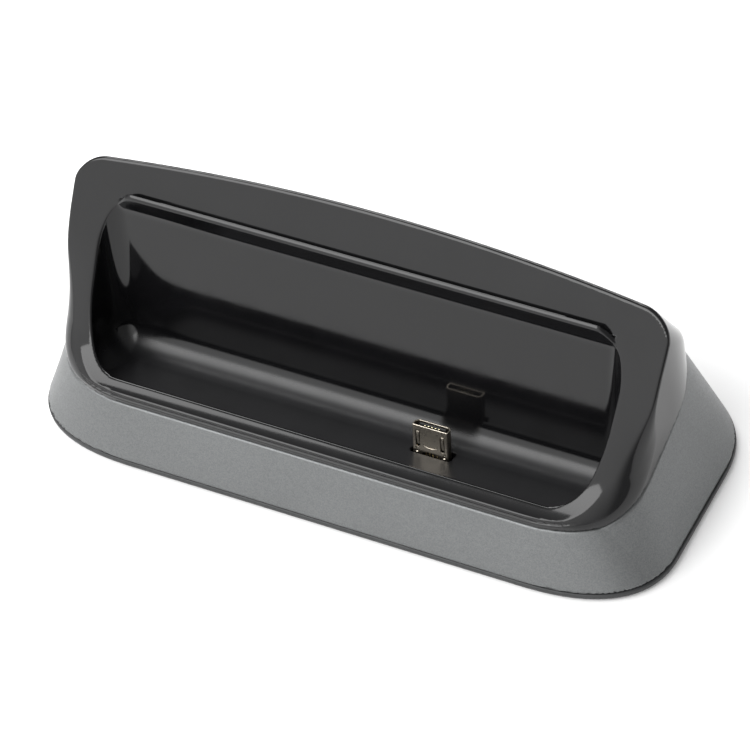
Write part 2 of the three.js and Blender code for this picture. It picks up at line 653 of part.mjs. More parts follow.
// ---- torsion springs on the pin, between the carrier and the ears ----
class Coil extends THREE.Curve {
  constructor(fromX, toX, radius) {
    super();
    Object.assign(this, { fromX, toX, radius });
  }

  getPoint(t, target = new THREE.Vector3()) {
    const angle = t * SPRING_TURNS * 2 * Math.PI;
    const x = this.fromX + (this.toX - this.fromX) * t;
    return target.set(x, pinY + this.radius * Math.cos(angle), pinZ + this.radius * Math.sin(angle));
  }
}
const springSection = [];
for (let i = 0; i < SPRING_SIDES; i += 1) {
  const angle = i / SPRING_SIDES * 2 * Math.PI;
  springSection.push([SPRING_WIRE * Math.cos(angle), SPRING_WIRE * Math.sin(angle)]);
}
const springMargin = SPRING_WIRE + SPRING_CLEAR;
for (const [name, side] of [['carrier_spring_left', -1], ['carrier_spring_right', 1]]) {
  const from = PLUG_X + side * (CARRIER_WIDTH / 2 + springMargin);
  const to = PLUG_X + side * (earX - springMargin);
  const path = new Coil(from, to, PIN_RADIUS + springMargin);
  const geometry = new THREE.ExtrudeGeometry(shapeOf(springSection), {
    steps: SPRING_TURNS * SPRING_STEPS, bevelEnabled: false, extrudePath: path,
  });
  place(name, solid(geometry), steel());
}

// ---- plug carrier ----
const carrierTop = -SLOT_WALL - 2 * GAP;
let carrier = leaningBlock(
  PLUG_X, CARRIER_WIDTH, -CARRIER_DEPTH / 2, CARRIER_DEPTH / 2, -CARRIER_BOTTOM, carrierTop,
);
const pinRoom = PIN_RADIUS + RUNNING;
carrier = carrier.subtract(lying(PLUG_X - CARRIER_WIDTH, PLUG_X + CARRIER_WIDTH, pinY, pinZ, pinRoom));
carrier = carrier.subtract(leaningBlock(
  PLUG_X, PLUG_WIDTH + 2 * GAP, -PLUG_THICK / 2 - GAP, PLUG_THICK / 2 + GAP, -PLUG_ROOT - GAP, PLUG_EXPOSED,
));
place('plug_carrier', carrier, blackPlastic());
const boardD = CARRIER_DEPTH / 2 + GAP;
place('plug_board', leaningBlock(
  PLUG_X, CARRIER_WIDTH, boardD, boardD + PLUG_BOARD_THICK,
  -CARRIER_BOTTOM + PLUG_BOARD_INSET, carrierTop - PLUG_BOARD_INSET,
), boardGreen());

// ---- plug shell: flat front, bevelled back corners, open mouth ----
function plugRing(inset, h) {
  const half = PLUG_WIDTH / 2 - inset;
  const front = -PLUG_THICK / 2 + inset;
  const rear = PLUG_THICK / 2 - inset;
  const outline = [
    [-half + PLUG_ROUND, front], [half - PLUG_ROUND, front], [half, front + PLUG_ROUND],
    [half, rear - PLUG_BEVEL], [half - PLUG_BEVEL, rear], [-half + PLUG_BEVEL, rear],
    [-half, rear - PLUG_BEVEL], [-half, front + PLUG_ROUND],
  ];
  return outline.map(([x, d]) => {
    const [y, z] = lean(d, h);
    return [PLUG_X + x, y, z];
  });
}
const latchX = LATCH_SPREAD / 2;
let plugShell = loft([plugRing(0, -PLUG_ROOT), plugRing(0, PLUG_EXPOSED)])
  .subtract(loft([plugRing(PLUG_WALL, PLUG_BOTTOM - PLUG_ROOT), plugRing(PLUG_WALL, 2 * PLUG_EXPOSED)]));
for (const side of [-1, 1]) {
  plugShell = plugShell.subtract(leaningBlock(
    PLUG_X + side * latchX, LATCH_WIDTH + 2 * LATCH_SIDE_GAP,
    -PLUG_THICK, -PLUG_THICK / 2 + PLUG_WALL + RUNNING,
    LATCH_BASE - LATCH_SIDE_GAP, LATCH_BASE + LATCH_LENGTH + LATCH_SIDE_GAP,
  ));
}
place('plug_shell', plugShell, nickel());

const tongueBack = PLUG_THICK / 2 - PLUG_WALL - RUNNING;
const tongueFront = tongueBack - TONGUE_THICK;
const tongueFoot = PLUG_BOTTOM - PLUG_ROOT + TONGUE_CLEAR;
const tongueTop = PLUG_EXPOSED - TONGUE_SHORT;
const tongueWidth = PLUG_WIDTH - 2 * PLUG_WALL - 2 * PLUG_BEVEL - 2 * TONGUE_CLEAR;
place('plug_tongue', leaningBlock(
  PLUG_X, tongueWidth, tongueFront, tongueBack, tongueFoot, tongueTop,
), blackPlastic());
for (let i = 0; i < CONTACT_COUNT; i += 1) {
  const x = PLUG_X + (i - (CONTACT_COUNT - 1) / 2) * CONTACT_PITCH;
  place(`plug_contact_${i + 1}`, leaningBlock(
    x, CONTACT_WIDTH, tongueFront - CONTACT_CLEAR - CONTACT_THICK, tongueFront - CONTACT_CLEAR,
    tongueFoot, tongueTop - TONGUE_CLEAR,
  ), gold());
}
for (const [name, side] of [['plug_latch_left', -1], ['plug_latch_right', 1]]) {
  place(name, leaningBlock(
    PLUG_X + side * latchX, LATCH_WIDTH, -PLUG_THICK / 2 - LATCH_PROUD, -PLUG_THICK / 2 + PLUG_WALL,
    LATCH_BASE, LATCH_BASE + LATCH_LENGTH,
  ), nickel());
}

// ---- flat cable from the plug's board to the connector on the main board ----
const connectorFront = BOARD_FRONT_Y + CONNECTOR_SETBACK;
const connectorZ = boardTop + GAP;
place('board_connector', block(
  PLUG_X - CONNECTOR_WIDTH / 2, PLUG_X + CONNECTOR_WIDTH / 2,
  connectorFront, connectorFront + CONNECTOR_DEPTH, connectorZ, connectorZ + CONNECTOR_HEIGHT,
), beige());
const [cableStart, cableLow] = lean(
  boardD + PLUG_BOARD_THICK + CABLE_CLEAR, 2 * CABLE_CLEAR - CARRIER_BOTTOM,
);
const cableEnd = connectorFront - GAP;
const cableHigh = connectorZ + CABLE_RISE;
const bendY = (cableStart + connectorFront) / 2;
const bendRun = (cableHigh - cableLow) / 2;
place('ribbon_cable', prismX([
  [cableStart, cableLow], [bendY, cableLow], [bendY + bendRun, cableHigh], [cableEnd, cableHigh],
  [cableEnd, cableHigh + CABLE_THICK], [bendY + bendRun - CABLE_THICK / 2, cableHigh + CABLE_THICK],
  [bendY - CABLE_THICK / 2, cableLow + CABLE_THICK], [cableStart, cableLow + CABLE_THICK],
], PLUG_X - CABLE_WIDTH / 2, PLUG_X + CABLE_WIDTH / 2), beige());

export default dock;
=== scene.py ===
import json
import math

import bpy
import numpy as np
from mathutils import Matrix, Vector


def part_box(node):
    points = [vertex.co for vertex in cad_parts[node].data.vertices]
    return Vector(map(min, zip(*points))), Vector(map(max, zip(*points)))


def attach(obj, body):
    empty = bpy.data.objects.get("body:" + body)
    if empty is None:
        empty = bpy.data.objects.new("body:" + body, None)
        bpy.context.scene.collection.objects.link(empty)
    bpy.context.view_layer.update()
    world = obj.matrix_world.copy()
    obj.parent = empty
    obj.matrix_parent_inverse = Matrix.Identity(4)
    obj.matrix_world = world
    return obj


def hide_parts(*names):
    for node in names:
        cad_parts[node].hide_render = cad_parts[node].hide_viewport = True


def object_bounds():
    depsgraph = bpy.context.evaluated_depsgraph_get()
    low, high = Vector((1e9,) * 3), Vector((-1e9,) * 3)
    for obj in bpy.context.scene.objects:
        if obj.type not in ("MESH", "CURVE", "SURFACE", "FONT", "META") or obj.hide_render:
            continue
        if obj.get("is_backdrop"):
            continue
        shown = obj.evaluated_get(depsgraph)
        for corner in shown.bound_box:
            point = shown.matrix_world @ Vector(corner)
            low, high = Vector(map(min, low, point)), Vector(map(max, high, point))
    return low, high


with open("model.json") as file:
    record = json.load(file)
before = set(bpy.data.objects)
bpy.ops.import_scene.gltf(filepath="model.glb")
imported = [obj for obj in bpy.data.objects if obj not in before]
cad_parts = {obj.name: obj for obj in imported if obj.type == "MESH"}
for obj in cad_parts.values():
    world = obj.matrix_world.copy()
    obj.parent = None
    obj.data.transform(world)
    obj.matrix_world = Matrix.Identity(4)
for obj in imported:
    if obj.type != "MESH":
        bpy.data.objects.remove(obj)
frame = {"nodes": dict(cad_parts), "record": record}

cad_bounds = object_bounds()
MM = 0.001


def box_mm(node):
    low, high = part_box(node)
    return np.array(low) / MM, np.array(high) / MM


# ---- places and sizes taken from the frame, in millimetres ----
plate_low, plate_high = box_mm("base_plate")
plug_low, plug_high = box_mm("plug_shell")

FRONT_Y = plate_low[1]
BACK_Y = plate_high[1]
HALF = plate_high[0]
BASE_LOW = plate_low[2]
RIDGE_Z = box_mm("cradle_shell")[1][2]
PLUG_X = (plug_low[0] + plug_high[0]) / 2
FEET = ["foot_front_left", "foot_front_right", "foot_back_left", "foot_back_right"]
BASE_SCREWS = ["base_screw_%d" % i for i in (1, 2, 3, 4)]

# ---- the forms that the frame's boxes do not give ----
LEAN = math.radians(16.5)
SLOT_FLOOR_Z = 10
PLUG_Y = BACK_Y - 35.4
SLOT_HALF = 49
SLOT_FRONT = 8.3
SLOT_BACK = 5.8
SLOT_FRONT_CORNER = 8
SLOT_BACK_CORNER = 4
SLOT_PANEL = 27.4
SLOT_SKIN = 1.2
BEAD_WIDTH = 0.8
STEP_HEIGHT = 3.95
FLARE = math.tan(math.radians(3))
LIP_Z = 14.1
BAND_FRONT_Z = 12.5
TAPER_FRONT = 4.2
TAPER_SIDE = 5.1
TAPER_BACK = 4.5
BAND_FLAT = 6.4
SEAM_START_Y = PLUG_Y - BAND_FLAT
SEAM_RISE = math.tan(math.radians(16))
CORNER_X = 24
CORNER_FRONT = 15
CORNER_BACK = 18
CORNER_POWER = 2.5
BACK_SLOPE = math.radians(63)
BOW_RADIUS = 470
SHOULDER = 6
SHELL_WALL = 1.6
BAND_WALL = 1.5
BASE_EDGE = 1.1
BASE_STEP = 1.1
BASE_TOP = BASE_LOW + BASE_EDGE
GAP = 0.3
SEAM_GAP = GAP / 2
FOOT_RECESS_TOP = 1.4
HEAD_RECESS_TOP = 1.7
OPENING_X = 3.87
OPENING_D = 1.35
OPENING_ROUND = 0.6
OPENING_DEPTH = 4

# ---- the roundings and small steps of the gloss shell ----
TOP_ROUND = 5.0
LIP_FILLET = 1.2
SLOT_FILLET = 5.0
STEP_ROUND = 0.2
RIDGE_ROUND = 1.0
EDGE_ROUND = 0.7
CORNER_ROUND = 2.6
INNER_ROUND = 0.75
ARM_FALL_FROM = 48.5
ARM_FALL = 0.05
BEAD_TILT = math.radians(33)
BEAD_FALL = 3.5
BEAD_REACH = 1.0
CREASE_RADIUS = 0.17
CREASE_CLOSING = 0.25
EDGE_STEP_IN = 0.4
EDGE_STEP_DOWN = 0.8


def lean(d, h):
    """A point of the slot's leaning frame as (y, z)."""
    return (
        PLUG_Y + d * math.cos(LEAN) + h * math.sin(LEAN),
        SLOT_FLOOR_Z - d * math.sin(LEAN) + h * math.cos(LEAN),
    )


def to_lean(y, z):
    d = (y - PLUG_Y) * math.cos(LEAN) - (z - SLOT_FLOOR_Z) * math.sin(LEAN)
    h = (y - PLUG_Y) * math.sin(LEAN) + (z - SLOT_FLOOR_Z) * math.cos(LEAN)
    return d, h


# ---- fields: negative inside, in millimetres ----
def round_max(a, b, radius):
    """Both at once, with the shared edge rounded."""
    corner = np.hypot(np.maximum(a + radius, 0), np.maximum(b + radius, 0))
    return np.minimum(np.maximum(a, b), -radius) + corner


def round_min(a, b, radius):
    """Either one, with the inside corner filleted."""
    return -round_max(-a, -b, radius)


def ramp(value, start, stop):
    share = np.clip((value - start) / (stop - start), 0, 1)
    return share * share * (3 - 2 * share)


def outline_field(x, y, front_in, side_in, back_in, spread=1.0):
    """Distance to the plan outline: straight sides and superelliptic corners."""
    half = HALF - side_in
    front = FRONT_Y + front_in
    back = BACK_Y - back_in
    reach_x = CORNER_X - side_in
    reach_back = np.minimum(CORNER_BACK, (back - front) / 2 - 0.5)
    reach_front = np.minimum(CORNER_FRONT, (back - front) / 2 - 0.5)
    across = np.maximum(np.abs(x) / spread - (half - reach_x), 0) / reach_x
    ahead = np.maximum(front + reach_front - y, 0) / reach_front
    behind = np.maximum(y - (back - reach_back), 0) / reach_back
    reach_y = np.where(behind > 0, reach_back, reach_front)
    along = ahead + behind
    power = CORNER_POWER
    size = (across ** power + along ** power + 1e-12) ** (1 / power)
    slope = np.hypot((across / size) ** (power - 1) / reach_x, (along / size) ** (power - 1) / reach_y)
    return np.where(size > 0.35, (size - 1) / np.maximum(slope, 1e-3), -5.0)


def seam_z(y):
    return BAND_FRONT_Z + np.maximum(0, y - SEAM_START_Y) * SEAM_RISE


LIP_INNER = lean(-SLOT_FRONT, (LIP_Z - SLOT_FLOOR_Z - SLOT_FRONT * math.sin(LEAN)) / math.cos(LEAN))
STEP_FOOT = lean(SLOT_BACK, SLOT_PANEL)
BEAD = (STEP_FOOT[0] + BEAD_WIDTH, STEP_FOOT[1] + STEP_HEIGHT)
RIDGE = (BEAD[0] + RIDGE_Z - BEAD[1], RIDGE_Z)
ARM = math.atan2(BEAD[1] - LIP_INNER[1], BEAD[0] - LIP_INNER[0])
END_X = HALF - TAPER_SIDE + (RIDGE_Z - BAND_FRONT_Z) * FLARE


def top_field(x, y, z):
    """The lip, the climbing arms and the inclined top. The arms fall away outward."""
    arm = -(y - BEAD[0]) * math.sin(ARM) + (z - BEAD[1]) * math.cos(ARM)
    outward = np.maximum(np.abs(x) - ARM_FALL_FROM, 0)
    arm = arm + ARM_FALL * outward ** 2 * ramp(z, LIP_Z + 20, LIP_Z + 4)
    incline = (z - BEAD[1] - (y - BEAD[0])) * math.sqrt(0.5)
    return round_min(round_max(arm, incline, TOP_ROUND), z - LIP_Z, TOP_ROUND)


def back_field(x, y, z):
    """The back falls steeply from an arched ridge."""
    reach = np.minimum(np.abs(x), END_X + 2)
    bow = BOW_RADIUS - np.sqrt(BOW_RADIUS ** 2 - reach ** 2)
    past = np.clip(reach - (END_X - SHOULDER), 0, SHOULDER)
    bow = bow + SHOULDER - np.sqrt(SHOULDER ** 2 - past ** 2 + 1e-9)
    flat = (y - RIDGE[0]) * math.sin(BACK_SLOPE) + (z - RIDGE[1]) * math.cos(BACK_SLOPE)
    return flat + bow


def column_field(x, y, z):
    """The shell's side walls, which flare slightly upward."""
    spread = 1 + np.maximum(z - BAND_FRONT_Z, 0) * FLARE / (HALF - TAPER_SIDE)
    return outline_field(x, y, TAPER_FRONT, TAPER_SIDE, TAPER_BACK, spread)


def slot_plan(x, d, h):
    """The slot seen along its lean: straight sides and round corners."""
    half = SLOT_HALF + np.maximum(h, 0) * FLARE
    side = np.abs(x)
    flat = np.maximum(side - half, np.maximum(-SLOT_FRONT - d, d - SLOT_BACK))
    front_u = side - (half - SLOT_FRONT_CORNER)
    front_v = -SLOT_FRONT + SLOT_FRONT_CORNER - d
    front = np.hypot(front_u, front_v) - SLOT_FRONT_CORNER
    back_u = side - (half - SLOT_BACK_CORNER)
    back_v = d - SLOT_BACK + SLOT_BACK_CORNER
    rear = np.hypot(back_u, back_v) - SLOT_BACK_CORNER
    field = np.where((front_u > 0) & (front_v > 0), front, flat)
    return np.where((back_u > 0) & (back_v > 0), rear, field)


def slot_field(x, y, z):
    """The slot's well, with a wide fillet at the back of its floor, and the upright step."""
    d, h = to_lean(y, z)
    fillet = LIP_FILLET + (SLOT_FILLET - LIP_FILLET) * ramp(d, -6, 0.5)
    well = round_max(slot_plan(x, d, h), -h, fillet)
    return round_max(well, y - STEP_FOOT[0], STEP_ROUND)


def shell_field(x, y, z):
    """The gloss shell: its outer form less the slot, the hollow inside and the plug's opening."""
    side = np.abs(x)
    column = column_field(x, y, z)
    slot = slot_field(x, y, z)
    # Towards each end the bead sinks into the arm, and its crease closes.
    fall = BEAD_FALL * ramp(side, SLOT_HALF - 4.5, SLOT_HALF + 1.5)
    closing = CREASE_CLOSING * ramp(side, SLOT_HALF - 12, SLOT_HALF - 4)
    facet = (z - BEAD[1]) * math.cos(BEAD_TILT) - (y - BEAD[0]) * math.sin(BEAD_TILT)
    ledge = np.maximum.reduce([facet + fall, STEP_FOOT[0] - BEAD_REACH - y, y - BEAD[0]])
    crease = np.hypot(y - BEAD[0], z - BEAD[1]) - CREASE_RADIUS + closing
    top = round_max(round_min(top_field(x, y, z), ledge, 0.05), -crease, 0.04)
    edge = EDGE_ROUND + CORNER_ROUND * ramp(side, 44, 52) * ramp(z, 30, 20)
    body = round_max(round_max(top, back_field(x, y, z), RIDGE_ROUND), column, edge)
    # A narrow step runs just inside the outer edge of the lip and the arms.
    fade = 2 * ramp(y, -6, 4)
    step = round_max(fade - column - EDGE_STEP_IN, fade - top - EDGE_STEP_DOWN, 0.1)
    stepped = round_max(body, -step, 0.2)
    skin = np.maximum(slot - SLOT_SKIN, body)
    above = np.maximum(stepped, seam_z(y) + SEAM_GAP - z)
    hollow = np.maximum(body + SHELL_WALL, SLOT_SKIN - slot)
    whole = np.maximum(np.minimum(above, skin), -hollow)
    opening = opening_field(x - PLUG_X, *to_lean(y, z))
    inner = INNER_ROUND - 0.5 * ramp(z, 30, 34)
    return np.maximum(round_max(whole, -slot, inner), -opening)


def boxed(parts, halves, radius):
    """A box of given half sizes round the centre, with rounded edges."""
    parts = [np.abs(part) - half + radius for part, half in zip(parts, halves)]
    outside = np.sqrt(sum(np.maximum(part, 0) ** 2 for part in parts))
    return np.minimum(np.maximum.reduce(parts), 0) + outside - radius


def opening_field(x, d, h):
    """The plug's opening through the slot's floor, rounded in plan."""
    plan = boxed((x, d), (OPENING_X, OPENING_D), OPENING_ROUND)
    return np.maximum(plan, np.abs(h) - OPENING_DEPTH)


def band_field(x, y, z):
    """The painted band, open below and above, with the input socket's cut at its back."""
    top = seam_z(y)
    share = np.clip((z - BASE_TOP) / (top - BASE_TOP), -0.3, 1.3)
    outer = outline_field(x, y, TAPER_FRONT * share, TAPER_SIDE * share, TAPER_BACK * share)
    ends = np.maximum(z - top + SEAM_GAP, BASE_TOP + SEAM_GAP - z)
    wall = round_max(outer, ends, 0.35)
    inner = outer + BAND_WALL
    socket = socket_cut(x, z)
    behind = np.maximum(socket, BACK_Y / 2 - y)
    return round_max(np.maximum(wall, -inner), -behind, 0.25)


def socket_cut(x, z):
    low, high = box_mm("input_socket_shell")
    centre, halves = (low + high) / 2, (high - low) / 2 + GAP
    return boxed((x - centre[0], z - centre[2]), (halves[0], halves[2]), 0.8)


def base_field(x, y, z):
    """The thin base: a broad edge, a step that locates the band, and recesses from below."""
    outline = outline_field(x, y, 0, 0, 0)
    slab = round_max(outline, np.maximum(z - BASE_TOP, BASE_LOW - z), 0.3)
    step_ends = np.maximum(z - BASE_TOP - BASE_STEP, BASE_LOW + GAP - z)
    inner = np.maximum(outline + BAND_WALL + 2 * GAP, step_ends)
    field = np.minimum(slab, inner)
    for name in FEET:
        field = np.maximum(field, -recess_field(x, y, name, z - FOOT_RECESS_TOP))
    for name in BASE_SCREWS:
        field = np.maximum(field, -recess_field(x, y, name, z - HEAD_RECESS_TOP))
    return field


def recess_field(x, y, node, cap):
    """A round recess that clears a foot or a screw head."""
    low, high = box_mm(node)
    centre = (low + high) / 2
    radius = (high[0] - low[0]) / 2 + GAP
    return np.maximum(np.hypot(x - centre[0], y - centre[1]) - radius, cap)


# ---- surface from a field ----
def gradient(field, points, delta=1e-3):
    out = np.empty_like(points)
    for axis in range(3):
        shift = np.zeros(3)
        shift[axis] = delta
        ahead = field(*(points + shift).T)
        behind = field(*(points - shift).T)
        out[:, axis] = (ahead - behind) / (2 * delta)
    return out


def surface_net(field, low, high, steps):
    """Quads over the zero surface of a field, with its points pulled onto the surface."""
    low = np.array(low, float)
    steps = np.array(steps, float)
    counts = np.ceil((np.array(high) - low) / steps).astype(int) + 1
    axes = [low[i] + steps[i] * np.arange(counts[i]) for i in range(3)]
    values = np.empty(counts, np.float32)
    slab = 24
    for start in range(0, counts[0], slab):
        part = np.meshgrid(axes[0][start:start + slab], axes[1], axes[2], indexing="ij")
        values[start:start + slab] = field(*part)
    inside = values < 0
    cells = counts - 1
    total = np.zeros(cells, np.int8)
    corners = [(i, j, k) for i in (0, 1) for j in (0, 1) for k in (0, 1)]

    def window(array, corner):
        return array[tuple(slice(c, c + n) for c, n in zip(corner, cells))]

    for corner in corners:
        total += window(inside, corner)
    mixed = np.argwhere((total > 0) & (total < 8))
    sums = np.zeros((len(mixed), 3))
    hits = np.zeros(len(mixed))
    for axis in range(3):
        for corner in corners:
            if corner[axis]:
                continue
            far = tuple(c + (1 if i == axis else 0) for i, c in enumerate(corner))
            a = values[tuple((mixed + corner).T)].astype(float)
            b = values[tuple((mixed + far).T)].astype(float)
            crosses = (a < 0) != (b < 0)
            share = np.where(crosses, a / np.where(crosses, a - b, 1), 0)
            point = np.repeat(np.array([corner], float), len(mixed), 0)
            point[:, axis] += share
            sums += point * crosses[:, None]
            hits += crosses
    points = low + (mixed + sums / hits[:, None]) * steps
    lookup = np.full(cells, -1, np.int32)
    lookup[tuple(mixed.T)] = np.arange(len(mixed))
    quads = []
    for axis in range(3):
        u, v = (axis + 1) % 3, (axis + 2) % 3
        here = [slice(1, n) for n in cells]
        here[axis] = slice(0, cells[axis])
        ahead = list(here)
        ahead[axis] = slice(1, cells[axis] + 1)
        first = inside[tuple(here)]
        second = inside[tuple(ahead)]
        for swap, found in ((False, first & ~second), (True, ~first & second)):
            at = np.argwhere(found)
            at[:, u] += 1
            at[:, v] += 1
            ring = []
            for du, dv in ((-1, -1), (0, -1), (0, 0), (-1, 0)):
                cell = at.copy()
                cell[:, u] += du
                cell[:, v] += dv
                ring.append(lookup[tuple(cell.T)])
            if swap:
                ring.reverse()
            quads.append(np.stack(ring, 1))
    quads = np.concatenate(quads)
    limit = steps.min() * 0.6
    for _ in range(4):
        value = field(*points.T)
        slope = gradient(field, points)
        size = np.maximum((slope ** 2).sum(1), 0.05)
        move = slope * (value / size)[:, None]
        length = np.linalg.norm(move, axis=1)
        move *= np.minimum(1, limit / np.maximum(length, 1e-9))[:, None]
        points = points - move
    normals = gradient(field, points, 0.02)
    normals /= np.maximum(np.linalg.norm(normals, axis=1), 1e-9)[:, None]
    return points, quads, normals


def add_mesh(name, points, faces, material, normals):
    """A mesh object from millimetre points, quad faces and a normal at each point."""
    mesh = bpy.data.meshes.new(name)
    faces = np.asarray(faces)
    mesh.vertices.add(len(points))
    mesh.vertices.foreach_set("co", (np.asarray(points) * MM).astype(np.float32).ravel())
    width = faces.shape[1]
    mesh.loops.add(faces.size)
    mesh.loops.foreach_set("vertex_index", faces.astype(np.int32).ravel())
    mesh.polygons.add(len(faces))
    mesh.polygons.foreach_set("loop_start", np.arange(0, faces.size, width, dtype=np.int32))
    mesh.polygons.foreach_set("use_smooth", np.ones(len(faces), bool))
    mesh.update(calc_edges=True)
    mesh.validate()
    mesh.normals_split_custom_set_from_vertices(normals.astype(np.float32).tolist())
    mesh.materials.append(material)
    piece = bpy.data.objects.new(name, mesh)
    bpy.context.scene.collection.objects.link(piece)
    return piece


# ---- materials ----
class Look:
    """A principled material with procedural detail, laid out in millimetres over the object."""

    def __init__(self, name, color, roughness, metallic=0.0):
        self.material = bpy.data.materials.new(name)
        self.material.use_nodes = True
        self.tree = self.material.node_tree
        self.shader = self.tree.nodes["Principled BSDF"]
        self.color = color
        self.roughness = roughness
        self.shader.inputs["Base Color"].default_value = (*color, 1)
        self.shader.inputs["Roughness"].default_value = roughness
        self.shader.inputs["Metallic"].default_value = metallic
        self.place = self.node("ShaderNodeTexCoord").outputs["Object"]

    def node(self, kind, **inputs):
        made = self.tree.nodes.new(kind)
        for key, value in inputs.items():
            self.feed(made.inputs[key], value)
        return made

    def feed(self, socket, value):
        if isinstance(value, bpy.types.NodeSocket):
            self.tree.links.new(value, socket)
        else:
            socket.default_value = value

    def noise(self, size, stretch=(1, 1, 1), detail=3.0):
        """Noise whose features are about size millimetres across."""
        mapping = self.node("ShaderNodeMapping")
        self.feed(mapping.inputs["Vector"], self.place)
        mapping.inputs["Scale"].default_value = [1 / (size * MM * part) for part in stretch]
        made = self.node("ShaderNodeTexNoise", Scale=1.0, Detail=detail)
        self.feed(made.inputs["Vector"], mapping.outputs["Vector"])
        return made.outputs[0]

    def along(self, direction):
        """Distance along a direction, in metres."""
        made = self.node("ShaderNodeVectorMath")
        made.operation = "DOT_PRODUCT"
        self.feed(made.inputs[0], self.place)
        made.inputs[1].default_value = direction
        return made.outputs["Value"]

    def spread(self, value, low, high, start=0.3, stop=0.7):
        made = self.node("ShaderNodeMapRange")
        self.feed(made.inputs["Value"], value)
        for key, number in (("From Min", start), ("From Max", stop), ("To Min", low), ("To Max", high)):
            made.inputs[key].default_value = number
        return made.outputs["Result"]

    def maths(self, operation, first, second):
        made = self.node("ShaderNodeMath")
        made.operation = operation
        self.feed(made.inputs[0], first)
        self.feed(made.inputs[1], second)
        return made.outputs[0]

    def shade(self, factor):
        """The base colour times a varying factor."""
        made = self.node("ShaderNodeVectorMath")
        made.operation = "SCALE"
        made.inputs[0].default_value = self.color
        self.feed(made.inputs["Scale"], factor)
        self.feed(self.shader.inputs["Base Color"], made.outputs["Vector"])

    def rough(self, value):
        self.feed(self.shader.inputs["Roughness"], value)

    def bump(self, height, depth):
        made = self.node("ShaderNodeBump", Strength=1.0, Distance=depth * MM)
        self.feed(made.inputs["Height"], height)
        self.feed(self.shader.inputs["Normal"], made.outputs["Normal"])

    def edge_lift(self, low, high):
        """A factor that rises on the edges of a finely meshed form."""
        geometry = self.node("ShaderNodeNewGeometry")
        return self.spread(geometry.outputs["Pointiness"], low, high, 0.5, 0.6)


def gloss_black_look():
    look = Look("gloss_black", (0.004, 0.004, 0.0044), 0.075)
    look.shader.inputs["Specular IOR Level"].default_value = 0.38
    # The slot's floor has a soft satin finish, and its colour is lifted there as a painted sheen;
    # everything else is glossy.
    sine, cosine = math.sin(LEAN), math.cos(LEAN)
    above = look.along((0, sine, cosine))
    ahead = look.along((0, cosine, -sine))
    floor_above = PLUG_Y * sine + SLOT_FLOOR_Z * cosine
    wall_ahead = PLUG_Y * cosine - SLOT_FLOOR_Z * sine - SLOT_FRONT
    low = look.spread(above, 1, 0, (floor_above + 1.0) * MM, (floor_above + 4.0) * MM)
    inside = look.spread(ahead, 0, 1, (wall_ahead - 0.3) * MM, (wall_ahead + 0.5) * MM)
    floor = look.maths("MULTIPLY", low, inside)
    cloud = look.spread(look.noise(9.0), 0.85, 1.15)
    # Painted sheen: on the slot's floor the black's colour is raised up to 2.6 times.
    look.shade(look.maths("MULTIPLY", cloud, look.spread(floor, 1, 2.6, 0, 1)))
    fine = look.spread(look.noise(0.4), 0, 0.02)
    gloss = look.maths("ADD", look.spread(look.noise(4.0), 0.06, 0.1), fine)
    look.rough(look.maths("ADD", gloss, look.spread(floor, 0, 0.26, 0, 1)))
    look.bump(look.noise(2.2, detail=1.0), 0.0012)
    return look.material


def grey_paint_look():
    """Metallic paint: each flake is a small cell with its own brightness and tilt."""
    look = Look("grey_paint", (0.139, 0.144, 0.145), 0.4, 0.6)
    cells = look.node("ShaderNodeTexVoronoi", Scale=1 / (0.16 * MM))
    look.feed(cells.inputs["Vector"], look.place)
    split = look.node("ShaderNodeSeparateColor")
    look.feed(split.inputs[0], cells.outputs["Color"])
    flakes = look.spread(split.outputs[0], 0.86, 1.14, 0.0, 1.0)
    cloud = look.spread(look.noise(14.0), 0.97, 1.03)
    look.shade(look.maths("MULTIPLY", flakes, cloud))
    haze = look.spread(look.noise(1.5), 0, 0.03)
    look.rough(look.maths("ADD", look.spread(split.outputs[1], 0.34, 0.46, 0.0, 1.0), haze))
    look.bump(look.noise(0.12, detail=1.0), 0.003)
    look.shader.inputs["Coat Weight"].default_value = 0.08
    look.shader.inputs["Coat Roughness"].default_value = 0.3
    return look.material


def moulded_look(name, color, roughness, grain=0.25, depth=0.01):
    look = Look(name, color, roughness)
    speckle = look.spread(look.noise(grain), 0.9, 1.1)
    look.shade(look.maths("MULTIPLY", look.spread(look.noise(6.0), 0.88, 1.12), speckle))
    look.rough(look.spread(look.noise(grain * 2), roughness - 0.07, roughness + 0.07))
    look.bump(look.noise(grain, detail=4.0), depth)
    return look.material


def metal_look(name, color, roughness, stretch=(9, 1, 1), grain=0.12):
    """Drawn or plated metal, with fine lines along its stretch and lighter sharp edges."""
    look = Look(name, color, roughness, 1.0)
    lines = look.noise(grain, stretch)
    # The colour is made up to 1.25 times lighter on sharp edges.
    tint = look.maths("MULTIPLY", look.spread(lines, 0.95, 1.04), look.edge_lift(1.0, 1.25))
    look.shade(look.maths("MULTIPLY", tint, look.spread(look.noise(2.5), 0.96, 1.04)))
    cloud = look.spread(look.noise(1.2), -0.02, 0.02)
    look.rough(look.maths("ADD", look.spread(lines, roughness - 0.04, roughness + 0.04), cloud))
    look.bump(lines, 0.0004)
    return look.material


def laminate_look(name):
    """Solder mask with paler tracks under it."""
    look = Look(name, (0.012, 0.085, 0.038), 0.38)
    tracks = look.node("ShaderNodeTexVoronoi", Scale=1 / (2.4 * MM))
    tracks.feature = "DISTANCE_TO_EDGE"
    look.feed(tracks.inputs["Vector"], look.place)
    lift = look.spread(tracks.outputs["Distance"], 1.7, 1.0, 0.03, 0.06)
    look.shade(look.maths("MULTIPLY", lift, look.spread(look.noise(0.3), 0.9, 1.1)))
    look.rough(look.spread(look.noise(1.0), 0.32, 0.46))
    look.bump(tracks.outputs["Distance"], 0.004)
    return look.material


